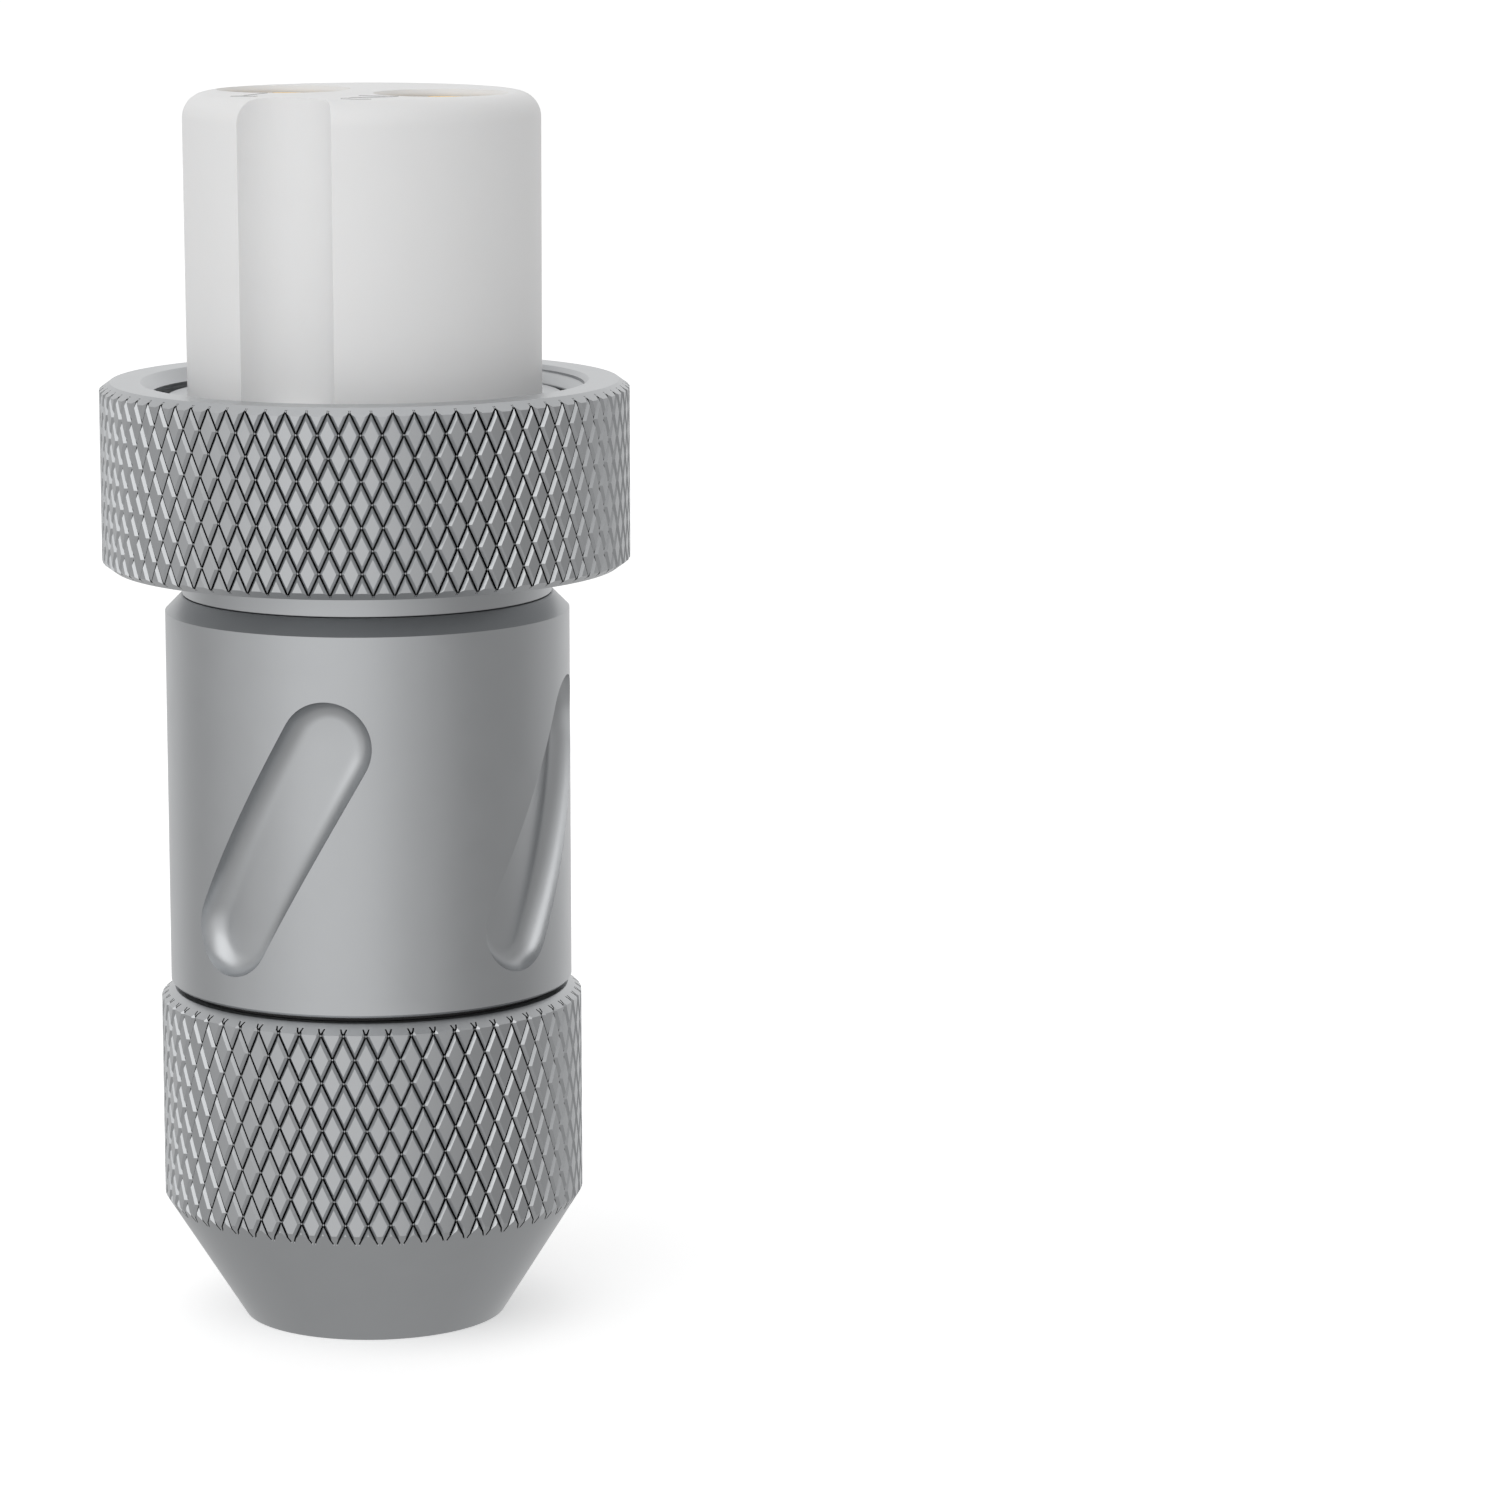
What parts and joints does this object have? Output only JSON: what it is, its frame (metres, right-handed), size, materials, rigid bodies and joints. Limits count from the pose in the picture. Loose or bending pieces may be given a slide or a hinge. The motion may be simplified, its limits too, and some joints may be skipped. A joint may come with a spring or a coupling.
{
  "type": "circular power connector plug",
  "caption": "Circular two-contact plug with a keyed white insert, knurled coupling ring, recessed grey sleeve and knurled back nut with a cable clamp.",
  "frame": {"origin": "centre of the back nut's flat end, where the cable enters", "axes": "+Z along the plug from the cable end to the contacts, -Y through the middle of the keyway, contacts 1 and 2 on -X and +X"},
  "size_m": [0.024, 0.024, 0.0566],
  "materials": {
    "shell_grey": "fine satin, grey",
    "insert_white": "matt, white",
    "contact_gold": "gold plated, polished",
    "clip_steel": "plain",
    "seal_rubber": "matt, black",
    "washer_plastic": "matt, natural",
    "claw_plastic": "matt, dark"
  },
  "bodies": {
    "plug": {"insert": "insert_white", "insert_seal": "seal_rubber", "insert_nut": "shell_grey", "rear_insulator": "insert_white", "contact_1": "contact_gold", "contact_2": "contact_gold", "contact_clip_1": "clip_steel", "contact_clip_2": "clip_steel", "contact_seal_1": "seal_rubber", "contact_seal_2": "seal_rubber", "front_shell": "shell_grey", "body_seal": "seal_rubber", "body_sleeve": "shell_grey", "nut_seal": "seal_rubber", "clamp_claw": "claw_plastic", "cable_grommet": "seal_rubber"},
    "coupling_carrier": {"coupling_washer": "washer_plastic"},
    "coupling": {"coupling_ring": "shell_grey"},
    "nut_carrier": {"slip_washer": "washer_plastic"},
    "nut": {"back_nut": "shell_grey"}
  },
  "joints": [
    {"name": "coupling_slide", "type": "slide", "parent": "plug", "child": "coupling_carrier", "axis": [0, 0, 1], "range_m": [-0.0012, 0.0034]},
    {"name": "coupling_turn", "type": "hinge", "parent": "coupling_carrier", "child": "coupling", "pos_m": [0, 0, 0.0362], "axis": [0, 0, 1], "continuous": true},
    {"name": "back_nut_travel", "type": "slide", "parent": "plug", "child": "nut_carrier", "axis": [0, 0, -1], "range_m": [0, 0.006]},
    {"name": "back_nut_turn", "type": "hinge", "parent": "nut_carrier", "child": "nut", "pos_m": [0, 0, 0.0078], "axis": [0, 0, -1], "range_deg": [0, 2160]}
  ],
  "couplings": [
    {"joint": "back_nut_travel", "follows": "back_nut_turn", "m_per_rad": 0.00015915}
  ]
}
